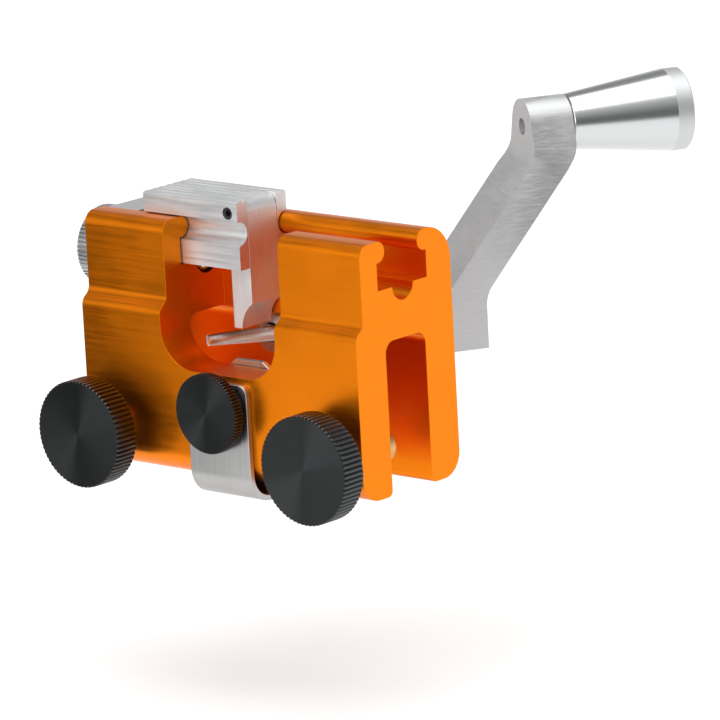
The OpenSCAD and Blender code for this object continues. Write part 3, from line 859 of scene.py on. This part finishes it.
def threaded_rod(name, axis, sections, pitch, depth):
    """A screw: rings of radius R - depth * valley, where valley is 1 less a flat-topped triangle wave.

    The wave runs with place / pitch - angle / turn. sections is a list of (start, end, radius, threaded).
    Plain sections keep their radius.
    """
    columns = 40
    rows_per_pitch = 10
    run_out = 0.4 * pitch
    angles = np.arange(columns)[None, :] * TURN / columns
    rings = []
    for start, end, radius, threaded in sections:
        rows = max(2, int((end - start) / pitch * rows_per_pitch)) if threaded else 2
        places = np.linspace(start, end, rows)[:, None]
        valley = 1 - flat_topped(places / pitch - angles / TURN, stretch=1.25)
        fade = np.clip(np.minimum(places - start, end - places) / run_out, 0, 1)
        cut = depth * valley * fade if threaded else 0
        rings.append(axis.surface(places, radius - cut, angles))
    return closed_skin(name, np.concatenate(rings), crease_degrees=30)


class JIG_OT_screws(bpy.types.Operator):
    """Cuts the threads of the clamp screws and the middle screw"""

    bl_idname = "jig.screws"
    bl_label = "Screws"

    def execute(self, context):
        s = settings()
        sizes = s.threads
        pad_gap = 0.3 * MM
        neck_share = 0.6
        steel = brushed(
            "plain steel", s.colours.steel, roughness=0.28, grain=(800, 800, 800), depth=0.004 * MM
        )
        for side in ("left", "right"):
            node = "clamp_screw_" + side
            axis = Axis(*joint_axis(f"clamp_{side}_turn"))
            start, end, radius = axis.span(node)
            neck = axis.span("clamp_pad_" + side)[0] - pad_gap
            sections = [(start, neck, radius, True), (neck, end, radius * neck_share, False)]
            stand_in(threaded_rod(node, axis, sections, sizes.pitch, sizes.depth), node, steel)
        axis = Axis(*joint_axis("lock_turn"))
        sections = [(*axis.span("lock_screw"), True)]
        lock_depth = sizes.depth * sizes.lock_pitch / sizes.pitch
        mesh = threaded_rod("lock_screw", axis, sections, sizes.lock_pitch, lock_depth)
        stand_in(mesh, "lock_screw", steel)
        return {"FINISHED"}


class JIG_OT_fittings(bpy.types.Operator):
    """Gives the pieces that keep their CAD shape their materials"""

    bl_idname = "jig.fittings"
    bl_label = "Fittings"

    def execute(self, context):
        s = settings()
        steel = brushed(
            "fitting steel", s.colours.steel, roughness=0.3, grain=(700, 700, 700), depth=0.004 * MM
        )
        bronze = brushed(
            "bronze", s.colours.bronze, roughness=0.32, grain=(600, 600, 600), depth=0.004 * MM
        )
        black = brushed(
            "blackened", s.colours.blackened, roughness=0.35, grain=(600, 600, 600), depth=0.004 * MM,
            metallic=0.3,
        )
        silver = brushed(
            "bearing block", s.colours.aluminium, roughness=0.35, grain=(60, 1500, 1500), depth=0.006 * MM
        )
        finishes = {
            "screw_steel": steel, "bronze": bronze, "blackened_screw": black, "machined_aluminium": silver,
            "stainless": steel,
        }
        for node, piece in frame["nodes"].items():
            if not piece.hide_render:
                dress(node, finishes[slot_of(node)])
        return {"FINISHED"}


class JIG_OT_stage(bpy.types.Operator):
    """Sets up the camera, the floor, the surroundings and the lights"""

    bl_idname = "jig.stage"
    bl_label = "Stage"

    def execute(self, context):
        s = settings().stage
        self.make_camera(context, s)
        self.make_floor(s)
        self.make_world(context, s)
        self.make_card(s)
        self.make_lights(s)
        context.scene.view_settings.view_transform = "Standard"
        return {"FINISHED"}

    @staticmethod
    def make_camera(context, s):
        """A camera at the photograph's angle, with its picture turned by the roll."""
        away, level = view_directions(s)
        forward = math.cos(s.elevation) * away - Vector((0, 0, math.sin(s.elevation)))
        up = level.cross(forward)
        right = math.cos(s.roll) * level + math.sin(s.roll) * up
        top = right.cross(forward)
        camera = put("camera", bpy.data.cameras.new("camera"))
        location = Vector(s.aim) - forward * s.distance
        turn = Matrix((right, top, -forward)).transposed()
        camera.matrix_world = Matrix.Translation(location) @ turn.to_4x4()
        camera.data.lens = s.lens
        camera.data.sensor_width = 36.0  # millimetres, like the lens
        camera.data.clip_start = 0.01
        camera.data.clip_end = 50.0
        context.scene.camera = camera

    @staticmethod
    def make_floor(s):
        """A plain table below the jig, square to the camera, that ends beside and in front of the jig."""
        away, right = view_directions(s)
        origin = Vector((0, 0, CAD_BOX[0].z - s.drop))
        low = (-s.floor_left, -s.floor_near)
        high = (s.floor_right, s.floor_far)
        floor = rectangle("floor", origin, right, away, low, high)
        sheet = Sheet.material("floor")
        matt = sheet.add("BsdfDiffuse", {"Color": (*s.floor, 1)})
        rays = sheet.add("LightPath")
        shown = sheet.math("MAXIMUM", rays.outputs["Is Camera Ray"], rays.outputs["Is Glossy Ray"])
        shown = sheet.math("MAXIMUM", shown, rays.outputs["Is Transmission Ray"])
        glow = sheet.light("Emission", sheet.math("MULTIPLY", shown, s.glow))
        both = sheet.add("AddShader", {0: matt.outputs[0], 1: glow})
        sheet.add("OutputMaterial", {"Surface": both.outputs[0]})
        floor.data.materials.append(sheet.owner)

    @staticmethod
    def make_card(s):
        """A dark card beside the camera, which only reflections show.

        The jig's front mirrors the camera towards it, so the front darkens on the card's side.
        """
        away, _ = view_directions(s)
        towards = Vector((away.x, -away.y, -math.tan(s.elevation))).normalized()
        level = Vector((0, 0, 1)).cross(towards).normalized()
        rise = towards.cross(level)
        low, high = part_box("main_body")
        middle = Vector((0, low.y, (low.z + high.z) / 2)) + towards * s.card_distance
        lower = (s.card_left, s.card_bottom)
        upper = (s.card_right, s.card_top)
        card = rectangle("card", middle, level, rise, lower, upper)
        card.visible_camera = False
        card.visible_diffuse = False
        card.visible_shadow = False
        sheet = Sheet.material("card")
        sheet.add("OutputMaterial", {"Surface": sheet.light("Emission", s.card)})
        card.data.materials.append(sheet.owner)

    @staticmethod
    def make_world(context, s):
        """Plain surroundings: a dark room on the camera's side and a pale wall behind the jig.

        The named limits are components of a direction: across, away from the camera and up. On the
        camera's side, brightness grows with height from the room's to the roof's. Behind the jig it goes
        from the wall's to the upper wall's, and it is lower towards the wall's left end.
        """
        left_end = -0.9
        left_fade = 0.6
        wall_start = -0.5
        wall_full = 0.0
        wall_top = 0.6
        room_top = 0.05
        roof_full = 0.75
        world = bpy.data.worlds.new("studio")
        context.scene.world = world
        sheet = Sheet(world)
        away, right = view_directions(s)
        direction = sheet.add("TexCoord").outputs["Generated"]
        behind = sheet.dot(direction, away)
        beside = sheet.dot(direction, right)
        height = sheet.add("SeparateXYZ", {0: direction}).outputs["Z"]
        wall = sheet.spread(height, 0.0, wall_top, s.wall, s.upper)
        side = sheet.spread(beside, left_end, left_fade, s.left, 1.0)
        share = sheet.spread(behind, wall_start, wall_full, 0.0, 1.0)
        lit = sheet.math("MULTIPLY", wall, side)
        back = sheet.math("MULTIPLY", share, lit)
        front = sheet.spread(height, room_top, roof_full, s.room, s.roof)
        room = sheet.math("MULTIPLY", sheet.math("SUBTRACT", 1.0, share), front)
        strength = sheet.math("ADD", back, room)
        sheet.add("OutputWorld", {"Surface": sheet.light("Background", strength)})

    @staticmethod
    def make_lights(s):
        """Three soft lamps, far away: a wide one overhead, one at the left and a low one in front."""
        away, right = view_directions(s)
        down = Vector((0, 0, -1))
        from_overhead = down + 0.12 * away
        from_left = right + 0.75 * away + 0.6 * down
        from_front = Vector((0, 1, 0.1))
        for name, heading, width, strength in (
            ("overhead", from_overhead, s.overhead_width, s.overhead),
            ("left", from_left, s.side_width, s.side),
            ("front", from_front, s.front_width, s.front),
        ):
            lamp = bpy.data.lights.new(name, "SUN")
            lamp.angle = width
            lamp.energy = strength * math.pi
            holder = put(name, lamp)
            holder.rotation_mode = "QUATERNION"
            holder.rotation_quaternion = heading.to_track_quat("-Z", "Y")


class JIG_PT_panel(bpy.types.Panel):
    """Runs each building step and shows every setting"""

    bl_idname = "JIG_PT_panel"
    bl_label = "Sharpening jig"
    bl_space_type = "VIEW_3D"
    bl_region_type = "UI"
    bl_category = "Sharpening jig"

    def draw(self, context):
        for operator in STEPS:
            self.layout.operator(operator.bl_idname)
        for group in ("colours", "edges", "knobs", "burr", "handle", "threads", "stage"):
            box = self.layout.box()
            values = getattr(context.scene.sharpening_jig, group)
            for key in values.bl_rna.properties.keys():
                if key not in ("rna_type", "name"):
                    box.prop(values, key)


STEPS = (
    JIG_OT_stage,
    JIG_OT_body,
    JIG_OT_slide,
    JIG_OT_clamp_knobs,
    JIG_OT_feed_knob,
    JIG_OT_chain_spring,
    JIG_OT_burr,
    JIG_OT_crank,
    JIG_OT_handle,
    JIG_OT_screws,
    JIG_OT_fittings,
)
GROUPS = (JigColours, JigEdges, JigKnobs, JigBurr, JigHandle, JigThreads, JigStage, JigSettings)


def register():
    """Registers the groups, the operators and the panel."""
    for kind in (*GROUPS, *STEPS, JIG_PT_panel):
        bpy.utils.register_class(kind)
    bpy.types.Scene.sharpening_jig = PointerProperty(type=JigSettings)


def unregister():
    """Takes everything back out."""
    del bpy.types.Scene.sharpening_jig
    for kind in reversed((*GROUPS, *STEPS, JIG_PT_panel)):
        bpy.utils.unregister_class(kind)


def main():
    """Builds every piece."""
    register()
    for operator in STEPS:
        group, name = operator.bl_idname.split(".")
        getattr(getattr(bpy.ops, group), name)()


if __name__ == "__main__":
    main()
